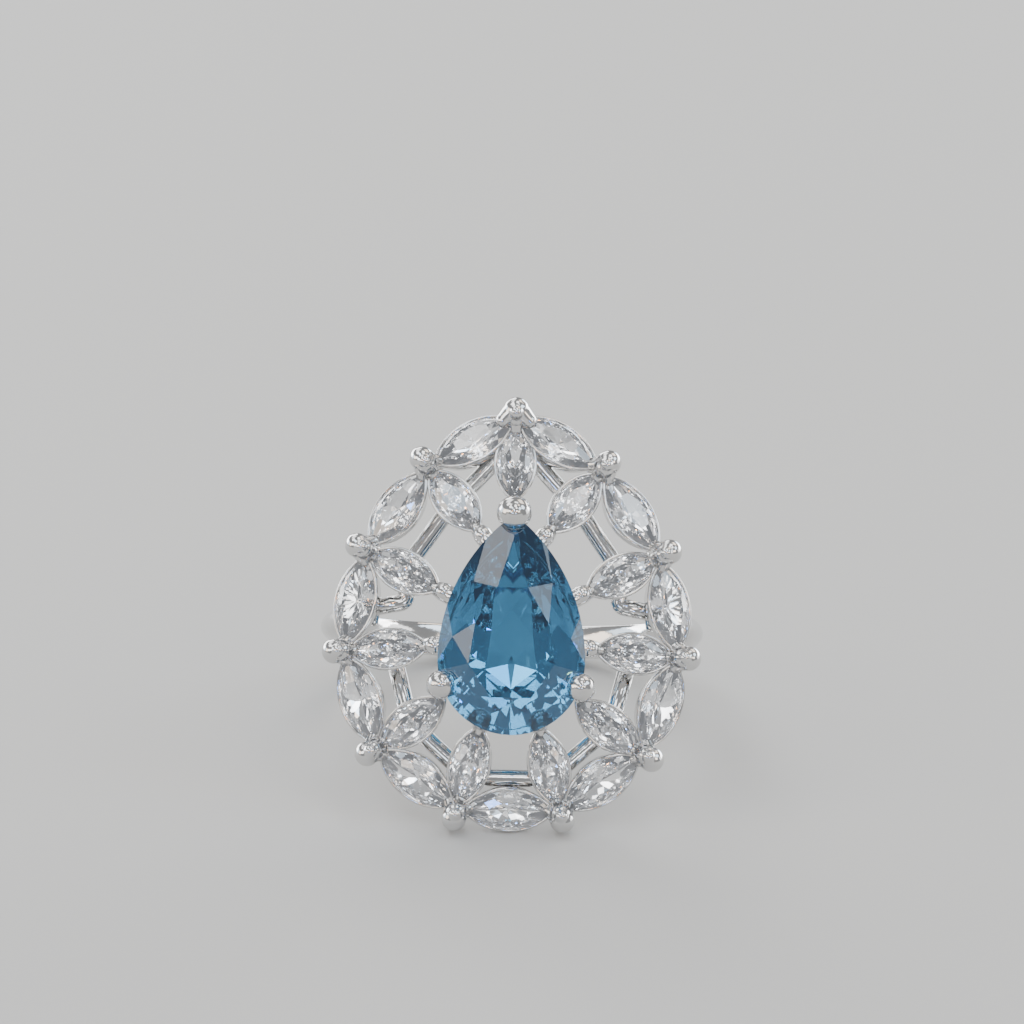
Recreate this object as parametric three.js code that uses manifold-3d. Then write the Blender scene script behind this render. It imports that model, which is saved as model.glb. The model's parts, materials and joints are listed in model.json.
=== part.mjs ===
// A cocktail ring: a pear-shaped openwork head of claw-set marquise stones round a large pear-cut
// stone, carried on a plain half-round band that is open under the head. Lengths are in millimetres.
//
// The finger hole's centre is the origin. The ring is made with its finger axis along Z and its
// head facing -Y, the point of the pear up, and then tipped back as it stands on a table: on the
// lowest collet of its head and the back of its band, with the head facing forwards and up.
import * as THREE from 'three';
import Module from 'manifold-3d';
import { mergeVertices } from 'three/addons/utils/BufferGeometryUtils.js';
import { LoftGeometry } from 'three/addons/geometries/LoftGeometry.js';

const wasm = await Module();
wasm.setup();

// ---------------------------------------------------------------- driving dimensions

// Band, a US size 8 (18.2 mm inside), half-round outside and flat inside. It runs round the back of
// the finger, and a shoulder carries each end on up to the head.
const FINGER_RADIUS = 9.1;
const BAND = { width: 1.9, thickness: 1.7, wall: 0.35, corner: 0.15 };
const BAND_END = 20; // degrees past the widest point, towards the head
const SHOULDER = { width: 1.5, thickness: 0.85, inside: 7.25, rise: 3.0, run: 3.0 };

// Head. Its outline runs through the outer claws: a half circle below, two wing arcs above.
// A level is a height above the finger axis, measured out of the head's face.
const HEAD_HALF_WIDTH = 9.5;
const HEAD_RISE = 13.25;
const HEAD_DROP = 2.0;
const CLAW_COUNT = 11;
const LEAN = 27.1; // degrees the standing ring tips back
const TIP_LEVEL = 12.0;

// The outer halo: marquise stones laid end to end along the outline and tilted outwards.
const HALO_STONE = { length: 4.8, width: 2.3 };
const HALO_INSET = 0.38;
const HALO_TILT = 27;

// The spokes: one marquise stone pointing inwards from each outer claw, inner tip raised.
const SPOKE_STONE = { length: 4.4, width: 2.05 };
const SPOKE_INSET = 2.8;
const TOP_SPOKE_INSET = 3.05;
const SPOKE_TILT = 18;
const SPOKE_LEAN = [0, 4, 5, -2, 1.5, -2.7]; // degrees off the outline's normal, from the top claw down
const BARE_SPOKES = [0, 4]; // these inner tips sit under the pear stone's own claws

const MARQUISE_CUT = {
  mains: 8, between: 0, table: 0.56, crown: 0.38, girdle: 0.08, pavilion: 0.95, star: 0.6, lower: 0.75,
};

// Centre stone, a 12 x 8 pear.
const PEAR_HALF_WIDTH = 4;
const PEAR_RISE = 8;
const PEAR_DROP = 0.73;
const PEAR_LEVEL = 14.5;
const PEAR_CUT = {
  mains: 8, between: 1, table: 0.55, crown: 1.4, girdle: 0.25, pavilion: 3.3, star: 0.55, lower: 0.7,
};
const PEAR_CLAW_ANGLE = 20; // side claws below the widest line, in degrees

// Metalwork
const COLLET = { gap: 0.045, wall: 0.11, above: 0.03, depth: 0.85, foot: 0.86, points: 16 };
const TIE = { inset: 0.2, depth: 0.55, radius: 0.25 };
// An outer claw: how far its foot, waist and top stand outside the outline, and their levels from
// the stones' tips.
const CLAW = { radius: 0.45, bead: 0.62, foot: [0.1, -1.1], waist: [0.22, -0.4], top: [0.05, 0.35] };
const HOOD = { spread: 0.85, drop: 0.75, rise: 0.2 }; // the top claw's two shoulders
// A spoke's small claw and the arm under it: distances inwards from the stone's inner tip, and levels.
const SMALL_CLAW = { radius: 0.46, place: [0.12, 0.05] };
const ARM = { radius: 0.4, run: [[-0.3, -0.55], [0.35, -0.6], [0.9, -1.1]] };
const PEAR_BEAD = { point: 0.92, side: 0.77 };
const PEAR_CLAW = { radius: 0.42, rise: 0.25, bulge: 0.4 };
// Where each pear claw stands on the basket's rails, out from the stone's middle.
const POINT_CLAW_FEET = { base: 4.4, top: 7.1 };
const SIDE_CLAW_FEET = { base: 2.4, top: 3.85 };
const BASKET_WIRE = 0.33;
const BASKET_STRUT = 0.26;
const BASKET_TOP = { halfWidth: 3.35, rise: 6.6, level: 13.2 };
const BASKET_BASE = { halfWidth: 2.0, rise: 4.0, level: 11.17 };
const BASKET_STRUTS = [0.12, 0.24, 0.42, 0.58, 0.76, 0.88]; // along the rails, as a share of their length
const RAIL_STEPS = 24;
const GALLERY = { width: 0.92, height: 0.55, bevel: 0.18, level: 11.55 };
// Corners of the gallery wires' right halves, from the mirror line outwards, in the head's plane.
const GALLERY_UPPER = [[0, 11.6], [3.6, 7.65], [5.9, 4.35], [5.75, 2.6], [8.05, 2.15]];
const GALLERY_LOWER = [[2.2, -6.9], [5.45, -4.0], [6.6, 0.4]];

// Room kept between pieces that bear on each other.
const GAP = 0.03;

// Facets round a turned wire, a bead and the band.
const WIRE_SIDES = 6;
const BEAD_SIDES = 8;
const BAND_FACETS = 8;
const BAND_STEPS = 32;
const SHOULDER_STEPS = 10;

// ---------------------------------------------------------------- materials

const silver = new THREE.MeshStandardMaterial({ color: 0xe4e5e8, roughness: 0.12, metalness: 1 });
const zirconia = new THREE.MeshStandardMaterial({ color: 0xf2f5fa, roughness: 0.03, metalness: 0 });
const topaz = new THREE.MeshStandardMaterial({ color: 0x2b6a96, roughness: 0.03, metalness: 0 });

// ---------------------------------------------------------------- solids

const vector = (x, y, z = 0) => new THREE.Vector3(x, y, z);
const radians = THREE.MathUtils.degToRad;

function toSolid(geometry) {
  const bare = new THREE.BufferGeometry().setAttribute('position', geometry.getAttribute('position'));
  const merged = mergeVertices(bare.setIndex(geometry.index), 1e-5);
  return new wasm.Manifold(new wasm.Mesh({
    numProp: 3,
    vertProperties: merged.getAttribute('position').array,
    triVerts: new Uint32Array(merged.index.array),
  }));
}

function toGeometry(solid) {
  const mesh = solid.getMesh();
  const geometry = new THREE.BufferGeometry();
  geometry.setAttribute('position', new THREE.BufferAttribute(mesh.vertProperties, 3));
  geometry.setIndex(new THREE.BufferAttribute(mesh.triVerts, 1));
  geometry.computeVertexNormals();
  return geometry;
}

// A solid's one main piece, without the crumbs and pinholes that joining and cutting can leave.
const mainPiece = (solid) => solid.decompose().reduce((a, b) => (a.volume() > b.volume() ? a : b));
const join = (solids) => mainPiece(solids.reduce((whole, solid) => whole.add(solid)));
const cut = (solid, cutters) => mainPiece(cutters.reduce((rest, cutter) => rest.subtract(cutter), solid));

// A skin over sections run counter-clockwise about the way from the first section to the last.
const bar = (sections) => new LoftGeometry(sections, { capStart: true, capEnd: true });
const hoop = (sections) => new LoftGeometry([...sections, sections[0]]);

// A round section across a direction.
function circle(center, direction, radius) {
  const turn = new THREE.Quaternion().setFromUnitVectors(vector(0, 0, 1), direction.clone().normalize());
  return Array.from({ length: WIRE_SIDES }, (_, i) => {
    const angle = (2 * Math.PI * (i + 0.5)) / WIRE_SIDES;
    return vector(radius * Math.cos(angle), radius * Math.sin(angle)).applyQuaternion(turn).add(center);
  });
}

// A round wire through points, its radius changing from point to point.
function wire(points, radii) {
  return toSolid(bar(points.map((point, i) => {
    const before = points[Math.max(i - 1, 0)];
    const after = points[Math.min(i + 1, points.length - 1)];
    return circle(point, after.clone().sub(before), radii[i]);
  })));
}

function bead(center, radius) {
  const ball = new THREE.SphereGeometry(radius, BEAD_SIDES, BEAD_SIDES - 2);
  return toSolid(ball.rotateX(Math.PI / 2).translate(center.x, center.y, center.z));
}

// ---------------------------------------------------------------- outlines

// A closed convex outline made of circular arcs, run counter-clockwise from its first arc's start.
class Outline {
  constructor(arcs) {
    this.arcs = arcs;
    this.length = arcs.reduce((sum, arc) => sum + arc.radius * arc.sweep, 0);
  }

  // The point and outward normal at a distance along the outline. A corner has the mean normal.
  at(distance) {
    let rest = THREE.MathUtils.euclideanModulo(distance, this.length);
    let index = 0;
    while (index < this.arcs.length - 1 && rest > this.arcs[index].radius * this.arcs[index].sweep) {
      rest -= this.arcs[index].radius * this.arcs[index].sweep;
      index += 1;
    }
    const arc = this.arcs[index];
    const angle = arc.start + rest / arc.radius;
    const normal = vector(Math.cos(angle), Math.sin(angle));
    const point = vector(arc.x, 0).addScaledVector(normal, arc.radius).add(vector(0, arc.y));
    if (rest < 1e-6) {
      const last = this.arcs[(index + this.arcs.length - 1) % this.arcs.length];
      const end = last.start + last.sweep;
      normal.add(vector(Math.cos(end), Math.sin(end))).normalize();
    }
    return { point, normal };
  }

  // Evenly spaced points, moved outwards by an offset and scaled about the middle.
  ring(count, { offset = 0, scale = 1, level = 0 } = {}) {
    return Array.from({ length: count }, (_, i) => {
      const { point, normal } = this.at((i * this.length) / count);
      return point.multiplyScalar(scale).addScaledVector(normal, offset).setZ(level);
    });
  }
}

// Two equal arcs that meet in a point at each end of the X axis.
function marquiseOutline({ length, width }) {
  const radius = (length ** 2 + width ** 2) / (4 * width);
  const drop = radius - width / 2;
  const sweep = 2 * Math.asin(length / 2 / radius);
  return new Outline([
    { x: 0, y: -drop, radius, start: (Math.PI - sweep) / 2, sweep },
    { x: 0, y: drop, radius, start: (3 * Math.PI - sweep) / 2, sweep },
  ]);
}

// A half circle below the X axis and two wing arcs that meet in a point above it.
function pearOutline(halfWidth, rise) {
  const radius = (rise ** 2 + halfWidth ** 2) / (2 * halfWidth);
  const sweep = Math.asin(rise / radius);
  return new Outline([
    { x: radius - halfWidth, y: 0, radius, start: Math.PI - sweep, sweep },
    { x: 0, y: 0, radius: halfWidth, start: Math.PI, sweep: Math.PI },
    { x: halfWidth - radius, y: 0, radius, start: 0, sweep },
  ]);
}

// ---------------------------------------------------------------- stones

// Where two lines meet, each through a point at right angles to a normal.
function meet(a, b) {
  const determinant = a.normal.x * b.normal.y - a.normal.y * b.normal.x;
  const reachA = a.normal.dot(a.point);
  const reachB = b.normal.dot(b.point);
  return vector(
    (reachA * b.normal.y - reachB * a.normal.y) / determinant,
    (reachB * a.normal.x - reachA * b.normal.x) / determinant,
  );
}

// One half of a brilliant cut, crown or pavilion. Its main facets lie on the girdle's tangents and
// rise to the inner outline, which is the girdle scaled down. Half facets fill in along the girdle.
function cutSide(outline, { mains, between, inner, height, edge, ridge }) {
  const pitch = outline.length / mains;
  const triangles = [];
  const rim = [];
  const main = (i) => outline.at((i % mains) * pitch);
  const onRidge = (i) => meet(main(i), main(i + 1))
    .multiplyScalar(1 - (1 - inner) * ridge).setZ(edge + (height - edge) * ridge);
  for (let i = 0; i < mains; i += 1) {
    const top = main(i).point.multiplyScalar(inner).setZ(height);
    const nextTop = main(i + 1).point.multiplyScalar(inner).setZ(height);
    const ridgePoint = onRidge(i);
    const lastRidge = onRidge(i + mains - 1);
    const start = main(i).point.setZ(edge);
    triangles.push([top, lastRidge, start], [top, start, ridgePoint]);
    if (inner > 0) {
      triangles.push([top, ridgePoint, nextTop], [vector(0, 0, height), top, nextTop]);
    }
    for (const half of [0, 1]) {
      const ends = [half / 2, (half + 1) / 2].map((f) => outline.at((i + f) * pitch).point.setZ(edge));
      const facet = new THREE.Plane().setFromCoplanarPoints(ridgePoint, ends[0], ends[1]);
      const steps = between + 1;
      const edgePoints = Array.from({ length: steps + 1 }, (_, j) => {
        const { point } = outline.at((i + (half + j / steps) / 2) * pitch);
        return point.setZ(-(facet.normal.x * point.x + facet.normal.y * point.y + facet.constant)
          / facet.normal.z);
      });
      for (let j = 0; j < steps; j += 1) {
        triangles.push([ridgePoint, edgePoints[j], edgePoints[j + 1]]);
        rim.push(edgePoints[j]);
      }
    }
  }
  return { triangles, rim };
}

// A brilliant-cut stone with its girdle's upper edge on the XY plane and its table facing +Z.
function brilliant(outline, cutting) {
  const crown = cutSide(outline, {
    ...cutting, inner: cutting.table, height: cutting.crown, edge: 0, ridge: cutting.star,
  });
  const pavilion = cutSide(outline, {
    ...cutting, inner: 0, height: -cutting.girdle - cutting.pavilion, edge: -cutting.girdle,
    ridge: cutting.lower,
  });
  const band = crown.rim.flatMap((upper, i) => {
    const j = (i + 1) % crown.rim.length;
    return [
      [upper, pavilion.rim[i], pavilion.rim[j]],
      [upper, pavilion.rim[j], crown.rim[j]],
    ];
  });
  const under = pavilion.triangles.map(([a, b, c]) => [a, c, b]);
  const corners = [...crown.triangles, ...under, ...band].flat();
  return new THREE.BufferGeometry().setFromPoints(corners);
}

// ---------------------------------------------------------------- collets

// A thin boat-shaped wall that holds a marquise stone by its girdle, open below.
function collet(stone) {
  const outline = marquiseOutline(stone);
  const foot = -COLLET.depth;
  return toSolid(hoop([
    outline.ring(COLLET.points, { offset: COLLET.wall, scale: COLLET.foot, level: foot }),
    outline.ring(COLLET.points, { offset: COLLET.gap + COLLET.wall, level: COLLET.above }),
    outline.ring(COLLET.points, { offset: COLLET.gap, level: COLLET.above }),
    outline.ring(COLLET.points, { scale: COLLET.foot, level: foot }),
  ]));
}

// The room a marquise stone and its collet take up, with the working gap all round.
function colletRoom(stone) {
  const outline = marquiseOutline(stone);
  const offset = COLLET.wall + GAP;
  return toSolid(bar([
    outline.ring(COLLET.points, { offset, scale: COLLET.foot, level: -COLLET.depth - GAP }),
    outline.ring(COLLET.points, { offset: offset + COLLET.gap, level: COLLET.above + GAP }),
  ]));
}

// A stone's own room, with the working gap all round.
function stoneRoom(stone) {
  const box = new THREE.Box3().setFromBufferAttribute(stone.getAttribute('position'));
  const [x, y, z] = box.getSize(vector(0, 0)).toArray().map((extent) => 1 + (2 * GAP) / extent);
  return toSolid(stone.clone().scale(x, y, z));
}

// ---------------------------------------------------------------- layout of the head

const headOutline = pearOutline(HEAD_HALF_WIDTH, HEAD_RISE);
const clawPitch = headOutline.length / CLAW_COUNT;
// Claws are numbered clockwise from the one at the point, as seen from in front.
const clawNode = (k) => headOutline.at(-k * clawPitch);
const fromTop = (k) => Math.min(k, CLAW_COUNT - k);
const isBare = (k) => BARE_SPOKES.includes(fromTop(k));

// A stone's place: its middle, the way its length runs and the way its table faces.
function placement(center, along, facing) {
  const side = facing.clone().cross(along);
  return new THREE.Matrix4().makeBasis(along, side, facing).setPosition(center);
}

function haloPlace(k) {
  const a = clawNode(k).point;
  const b = clawNode(k + 1).point;
  const along = b.clone().sub(a).normalize();
  const outwards = vector(-along.y, along.x);
  const center = a.add(b).multiplyScalar(0.5).addScaledVector(outwards, -HALO_INSET).setZ(TIP_LEVEL);
  const tilt = radians(HALO_TILT);
  const facing = outwards.multiplyScalar(Math.sin(tilt)).setZ(Math.cos(tilt));
  return placement(center, along, facing);
}

// The outward direction of a spoke in the head's plane.
function spokeDirection(k) {
  const { normal } = clawNode(k);
  const side = k > CLAW_COUNT / 2 ? -1 : 1;
  return normal.clone().applyAxisAngle(vector(0, 0, 1), radians(side * SPOKE_LEAN[fromTop(k)]));
}

function spokePlace(k) {
  const tilt = radians(SPOKE_TILT);
  const outwards = spokeDirection(k);
  const level = TIP_LEVEL + (SPOKE_STONE.length / 2) * Math.sin(tilt);
  const inset = k === 0 ? TOP_SPOKE_INSET : SPOKE_INSET;
  const center = clawNode(k).point.addScaledVector(outwards, -inset).setZ(level);
  const along = outwards.clone().multiplyScalar(Math.cos(tilt)).setZ(-Math.sin(tilt));
  const facing = outwards.clone().multiplyScalar(Math.sin(tilt)).setZ(Math.cos(tilt));
  return placement(center, along, facing);
}

const indices = Array.from({ length: CLAW_COUNT }, (_, k) => k);
const haloPlaces = indices.map(haloPlace);
const spokePlaces = indices.map(spokePlace);
const number = (k) => String(k + 1).padStart(2, '0');
const around = (k) => [(k + CLAW_COUNT - 1) % CLAW_COUNT, k % CLAW_COUNT];

const haloStone = brilliant(marquiseOutline(HALO_STONE), MARQUISE_CUT);
const spokeStone = brilliant(marquiseOutline(SPOKE_STONE), MARQUISE_CUT);
const pearStone = brilliant(pearOutline(PEAR_HALF_WIDTH, PEAR_RISE), PEAR_CUT);
const pearCenter = vector(0, -PEAR_DROP, PEAR_LEVEL);

const placed = (solid, place) => solid.transform(place.elements);
const haloRooms = haloPlaces.map((place) => [
  placed(stoneRoom(haloStone), place),
  placed(colletRoom(HALO_STONE), place),
]);
const spokeStoneRooms = spokePlaces.map((place) => placed(stoneRoom(spokeStone), place));
const spokeColletRooms = spokePlaces.map((place) => placed(colletRoom(SPOKE_STONE), place));
const pearRoom = stoneRoom(pearStone).translate(pearCenter.toArray());

// ---------------------------------------------------------------- head metalwork

const head = new THREE.Group();
head.rotation.x = Math.PI / 2;
head.position.z = -HEAD_DROP;

function addNode(group, name, geometry, material) {
  const mesh = new THREE.Mesh(geometry, material);
  mesh.name = name;
  group.add(mesh);
  return mesh;
}

// The tie that joins two neighbouring outer collets below their stones, behind an outer claw.
function rimTie(k, radius) {
  const [before, after] = around(k).map((i) => haloPlaces[i]);
  const end = HALO_STONE.length / 2 - TIE.inset;
  const from = vector(end, 0, -TIE.depth).applyMatrix4(before);
  const to = vector(-end, 0, -TIE.depth).applyMatrix4(after);
  return wire([from, to], [radius, radius]);
}

// The room taken up beside an outer claw by the two halo stones, their collets and the tie.
const roomsAround = (k) => [...around(k).flatMap((i) => haloRooms[i]), rimTie(k, TIE.radius + GAP)];

// The outer collets, cast as one pear-shaped rim.
function haloRim() {
  const collets = haloPlaces.map((place) => placed(collet(HALO_STONE), place));
  const ties = indices.map((k) => rimTie(k, TIE.radius));
  return cut(join([...collets, ...ties]), [spokeStoneRooms[0]]);
}

// An outer claw: a pillar outside the rim whose bead holds down the three stone tips beside it. The
// claw at the head's point spreads into a hood over the two stones that meet there.
function haloClaw(k) {
  const { point, normal } = clawNode(k);
  const [foot, waist, top] = [CLAW.foot, CLAW.waist, CLAW.top].map(
    ([out, rise]) => point.clone().addScaledVector(normal, out).setZ(TIP_LEVEL + rise),
  );
  const slim = CLAW.radius * 0.8;
  const pieces = [
    wire([foot, waist, top], [slim, CLAW.radius, CLAW.radius]),
    bead(top, CLAW.bead),
  ];
  if (k === 0) {
    for (const side of [-1, 1]) {
      const lobe = vector(side * HOOD.spread, HEAD_RISE - HOOD.drop, TIP_LEVEL + HOOD.rise);
      pieces.push(wire([top, lobe], [CLAW.bead * 0.9, slim]));
    }
  }
  return cut(join(pieces), [...roomsAround(k), spokeStoneRooms[k], spokeColletRooms[k]]);
}

// A spoke's collet. Where no claw of the pear stone covers its inner tip, a small claw does, and an
// arm carries the tip to the basket.
function spokeSetting(k) {
  const walls = cut(placed(collet(SPOKE_STONE), spokePlaces[k]), roomsAround(k));
  if (isBare(k)) return walls;
  const tip = SPOKE_STONE.length / 2;
  const inner = ([inwards, level]) => vector(-tip - inwards, 0, level).applyMatrix4(spokePlaces[k]);
  const arm = wire(ARM.run.map(inner), ARM.run.map(() => ARM.radius));
  const claw = bead(inner(SMALL_CLAW.place), SMALL_CLAW.radius);
  return join([walls, cut(join([arm, claw]), [spokeStoneRooms[k], pearRoom, ...basketRooms])]);
}

// A pear-shaped wire of the basket, at its level.
function basketRail({ halfWidth, rise, level }, radius) {
  const outline = pearOutline(halfWidth, rise);
  const sections = Array.from({ length: RAIL_STEPS }, (_, i) => {
    const { point, normal } = outline.at((i * outline.length) / RAIL_STEPS);
    return Array.from({ length: WIRE_SIDES }, (_, j) => {
      const angle = (2 * Math.PI * (j + 0.5)) / WIRE_SIDES;
      return point.clone().addScaledVector(normal, radius * Math.cos(angle))
        .add(vector(0, -PEAR_DROP, level - radius * Math.sin(angle)));
    });
  });
  return toSolid(hoop(sections));
}

// The pieces of the basket under the pear stone, two rails and the struts between them, with some
// spare thickness.
function basketPieces(spare) {
  const top = pearOutline(BASKET_TOP.halfWidth, BASKET_TOP.rise);
  const base = pearOutline(BASKET_BASE.halfWidth, BASKET_BASE.rise);
  const thin = BASKET_STRUT + spare;
  const struts = BASKET_STRUTS.map((fraction) => {
    const low = base.at(fraction * base.length).point.add(vector(0, -PEAR_DROP, BASKET_BASE.level));
    const high = top.at(fraction * top.length).point.add(vector(0, -PEAR_DROP, BASKET_TOP.level));
    return wire([low, high], [thin, thin]);
  });
  return [...[BASKET_TOP, BASKET_BASE].map((rail) => basketRail(rail, BASKET_WIRE + spare)), ...struts];
}

const pearBasket = () => cut(join(basketPieces(0)), [pearRoom]);
const basketRooms = basketPieces(GAP);

// A claw of the pear stone, from the basket's base rail up past the girdle to its bead. The
// direction points from the stone's middle to the claw.
function pearClaw(direction, reach, feet, beadRadius) {
  const at = (out, level) => direction.clone().multiplyScalar(out).add(vector(0, -PEAR_DROP, level));
  const top = at(reach, PEAR_LEVEL + PEAR_CLAW.rise);
  const run = [
    at(feet.base, BASKET_BASE.level),
    at(feet.top, BASKET_TOP.level),
    at(reach + PEAR_CLAW.bulge, PEAR_LEVEL),
    top,
  ];
  const pillar = wire(run, run.map(() => PEAR_CLAW.radius));
  const rooms = [...spokeStoneRooms, ...spokeColletRooms];
  return cut(join([pillar, bead(top, beadRadius)]), [pearRoom, ...basketRooms, ...rooms]);
}

// A flat bevelled wire along a line of corners, lying in the head's plane.
function galleryWire(corners) {
  const half = GALLERY.width / 2 - GALLERY.bevel;
  const side = (sign) => corners.map(([x, y], i) => {
    const before = corners[Math.max(i - 1, 0)];
    const after = corners[Math.min(i + 1, corners.length - 1)];
    const into = new THREE.Vector2(x - before[0], y - before[1]).normalize();
    const out = new THREE.Vector2(after[0] - x, after[1] - y).normalize();
    const along = into.clone().add(out).normalize();
    const stretch = half / Math.max(along.dot(i ? into : out), 0.5);
    return new THREE.Vector2(x - sign * along.y * stretch, y + sign * along.x * stretch);
  });
  const shape = new THREE.Shape([...side(1), ...side(-1).reverse()]);
  const geometry = new THREE.ExtrudeGeometry(shape, {
    depth: GALLERY.height - 2 * GALLERY.bevel,
    bevelThickness: GALLERY.bevel,
    bevelSize: GALLERY.bevel,
    bevelSegments: 1,
  });
  return toSolid(geometry.translate(0, 0, GALLERY.level - GALLERY.height / 2 + GALLERY.bevel));
}

// A gallery wire, mirrored from its right half and notched where it meets the collets above it.
function gallery(half) {
  const mirrored = half.map(([x, y]) => [-x, y]).reverse();
  const corners = [...mirrored, ...(half[0][0] === 0 ? half.slice(1) : half)];
  const ties = indices.map((k) => rimTie(k, TIE.radius + GAP));
  const rooms = [...spokeStoneRooms, ...spokeColletRooms, ...haloRooms.flat(), ...ties];
  return cut(galleryWire(corners), rooms);
}

// ---------------------------------------------------------------- band

// A half-round bar whose flat inner face follows a curve run counter-clockwise round the finger.
function bandBar(curve, steps, width, thickness) {
  return bar(Array.from({ length: steps + 1 }, (_, i) => {
    const share = i / steps;
    const inner = curve.getPoint(share);
    const tangent = curve.getTangent(share);
    const at = (out, z) => vector(inner.x + tangent.y * out, inner.y - tangent.x * out, z);
    const half = width(share) / 2;
    const dome = thickness(share) - BAND.wall;
    const round = Array.from({ length: BAND_FACETS + 1 }, (_, j) => {
      const angle = (Math.PI * j) / BAND_FACETS;
      return at(BAND.wall + dome * Math.sin(angle), half * Math.cos(angle));
    });
    return [...round, at(0, BAND.corner - half), at(0, half - BAND.corner)];
  }));
}

function shank() {
  const end = radians(BAND_END);
  const curve = new THREE.EllipseCurve(0, 0, FINGER_RADIUS, FINGER_RADIUS, -end, Math.PI + end);
  return bandBar(curve, BAND_STEPS, () => BAND.width, () => BAND.thickness);
}

// A shoulder: it leaves the band's end and rises to the gallery wire's foot, growing slimmer.
function shoulder(side) {
  const end = radians(BAND_END);
  const along = new THREE.Vector2(Math.sin(end), Math.cos(end));
  const low = new THREE.Vector2(Math.cos(end), -Math.sin(end)).multiplyScalar(FINGER_RADIUS);
  low.addScaledVector(along, -GAP);
  const high = new THREE.Vector2(SHOULDER.inside, GALLERY.height / 2 + GAP - GALLERY.level);
  const points = [
    high,
    high.clone().add(new THREE.Vector2(0, SHOULDER.rise)),
    low.clone().addScaledVector(along, -SHOULDER.run),
    low,
  ];
  if (side < 0) points.reverse().forEach((point) => point.setX(-point.x));
  const taper = (from, to) => (share) => THREE.MathUtils.lerp(from, to, side > 0 ? share : 1 - share);
  return bandBar(
    new THREE.CubicBezierCurve(...points),
    SHOULDER_STEPS,
    taper(SHOULDER.width, BAND.width),
    taper(SHOULDER.thickness, BAND.thickness),
  );
}

// ---------------------------------------------------------------- assembly

const ring = new THREE.Group();
ring.rotation.x = -radians(LEAN);
ring.add(head);

addNode(ring, 'shank', shank(), silver);
addNode(ring, 'shoulder_left', shoulder(-1), silver);
addNode(ring, 'shoulder_right', shoulder(1), silver);
const pearMesh = addNode(head, 'pear_stone', pearStone, topaz);
pearMesh.position.copy(pearCenter);
addNode(head, 'halo_rim', toGeometry(haloRim()), silver);
addNode(head, 'pear_basket', toGeometry(pearBasket()), silver);
addNode(head, 'gallery_wire_upper', toGeometry(gallery(GALLERY_UPPER)), silver);
addNode(head, 'gallery_wire_lower', toGeometry(gallery(GALLERY_LOWER)), silver);

const claws = { point: pearClaw(vector(0, 1), PEAR_RISE, POINT_CLAW_FEET, PEAR_BEAD.point) };
for (const [name, side] of [['left', -1], ['right', 1]]) {
  const angle = radians(PEAR_CLAW_ANGLE);
  const direction = vector(side * Math.cos(angle), -Math.sin(angle));
  claws[name] = pearClaw(direction, PEAR_HALF_WIDTH, SIDE_CLAW_FEET, PEAR_BEAD.side);
}
for (const [name, solid] of Object.entries(claws)) {
  addNode(head, `pear_claw_${name}`, toGeometry(solid), silver);
}

for (const k of indices) {
  addNode(head, `halo_stone_${number(k)}`, haloStone, zirconia).applyMatrix4(haloPlaces[k]);
  addNode(head, `spoke_stone_${number(k)}`, spokeStone, zirconia).applyMatrix4(spokePlaces[k]);
  addNode(head, `halo_claw_${number(k)}`, toGeometry(haloClaw(k)), silver);
  addNode(head, `spoke_setting_${number(k)}`, toGeometry(spokeSetting(k)), silver);
}

export default ring;
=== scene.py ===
import json
import math

import bmesh
import bpy
import numpy as np
from mathutils import Matrix, Vector


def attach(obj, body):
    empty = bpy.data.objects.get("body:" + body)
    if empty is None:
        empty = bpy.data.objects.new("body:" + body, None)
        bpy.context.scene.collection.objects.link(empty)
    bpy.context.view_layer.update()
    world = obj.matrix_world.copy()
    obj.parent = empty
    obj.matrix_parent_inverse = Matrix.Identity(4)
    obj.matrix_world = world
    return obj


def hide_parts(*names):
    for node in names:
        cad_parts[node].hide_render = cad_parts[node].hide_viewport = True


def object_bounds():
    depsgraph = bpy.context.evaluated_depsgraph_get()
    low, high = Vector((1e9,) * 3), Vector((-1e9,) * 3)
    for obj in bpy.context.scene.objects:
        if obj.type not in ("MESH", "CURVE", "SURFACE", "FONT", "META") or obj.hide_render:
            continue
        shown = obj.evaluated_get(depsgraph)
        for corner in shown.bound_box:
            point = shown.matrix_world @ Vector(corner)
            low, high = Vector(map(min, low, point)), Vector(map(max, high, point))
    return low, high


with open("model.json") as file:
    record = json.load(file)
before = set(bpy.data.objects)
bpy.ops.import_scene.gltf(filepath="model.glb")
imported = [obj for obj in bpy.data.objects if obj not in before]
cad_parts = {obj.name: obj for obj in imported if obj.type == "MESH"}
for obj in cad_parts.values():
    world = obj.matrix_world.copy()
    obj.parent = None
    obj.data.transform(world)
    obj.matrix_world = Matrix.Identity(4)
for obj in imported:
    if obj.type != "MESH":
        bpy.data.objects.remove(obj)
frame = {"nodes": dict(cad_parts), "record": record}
CAD_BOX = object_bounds()

# Lengths are in millimetres until a mesh is made, and the scene is in metres.
MM = 0.001

# ------------------------------------------------------------------ the ring's own frame

# The ring stands tipped back. Its finger axis is the row's mount "finger".
FINGER_AXIS = Vector(next(m for m in frame["record"]["mounts"] if m["name"] == "finger")["axis"])
LEAN = math.atan2(FINGER_AXIS.y, FINGER_AXIS.z)
TIP = Matrix.Rotation(-LEAN, 3, "X")  # from the upright ring's frame to the row frame


def node_vertices(name):
    """A CAD node's vertices in the upright ring's frame, in millimetres."""
    mesh = frame["nodes"][name].data
    flat = np.empty(len(mesh.vertices) * 3)
    mesh.vertices.foreach_get("co", flat)
    return flat.reshape(-1, 3) / MM @ np.array(TIP)


def node_box(name):
    vertices = node_vertices(name)
    return Vector(vertices.min(0)), Vector(vertices.max(0))


# ------------------------------------------------------------------ camera

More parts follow.
